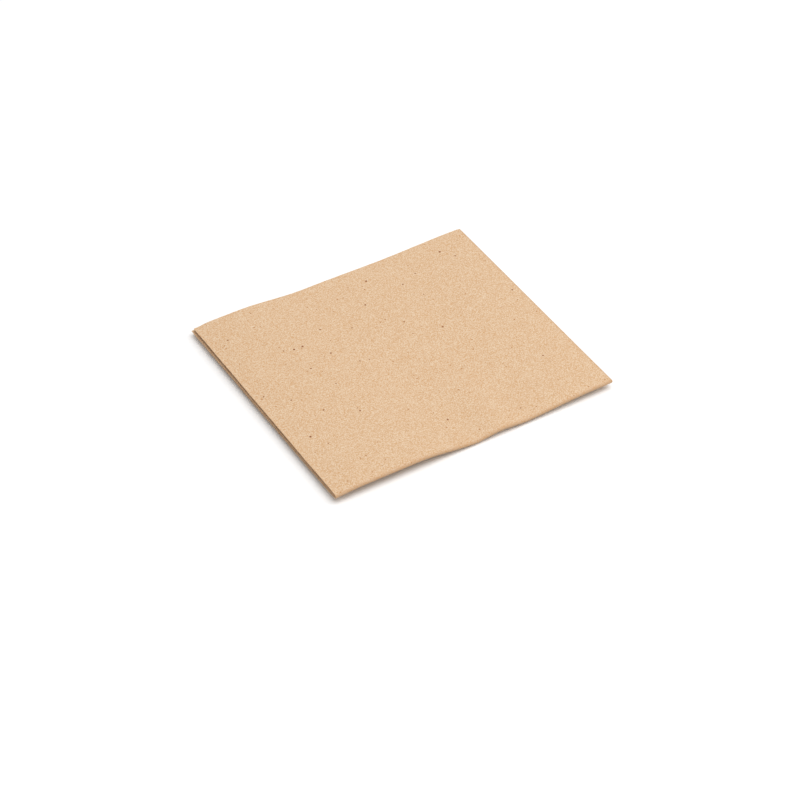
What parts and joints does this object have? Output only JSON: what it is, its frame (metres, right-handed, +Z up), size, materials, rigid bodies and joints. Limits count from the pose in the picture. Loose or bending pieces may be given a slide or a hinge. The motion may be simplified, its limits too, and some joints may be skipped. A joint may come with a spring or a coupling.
{
  "type": "paper napkin",
  "caption": "Folded kraft paper napkin: a thin unbleached tissue sheet folded into quarters that lies flat with a gentle wave, for wiping hands or setting under a drink.",
  "frame": {"origin": "on the surface the napkin lies on, under the middle of its folded outline", "axes": "+Z up, away from the table; +X along the second fold, towards the first fold; +Y away from the second fold, towards the cut edges"},
  "size_m": [0.127, 0.1142, 0.0048],
  "materials": {
    "kraft_tissue": "matte unbleached kraft tissue with fine fibres and a few dark specks"
  },
  "bodies": {
    "root": {"folded_napkin": "kraft_tissue"}
  },
  "joints": []
}
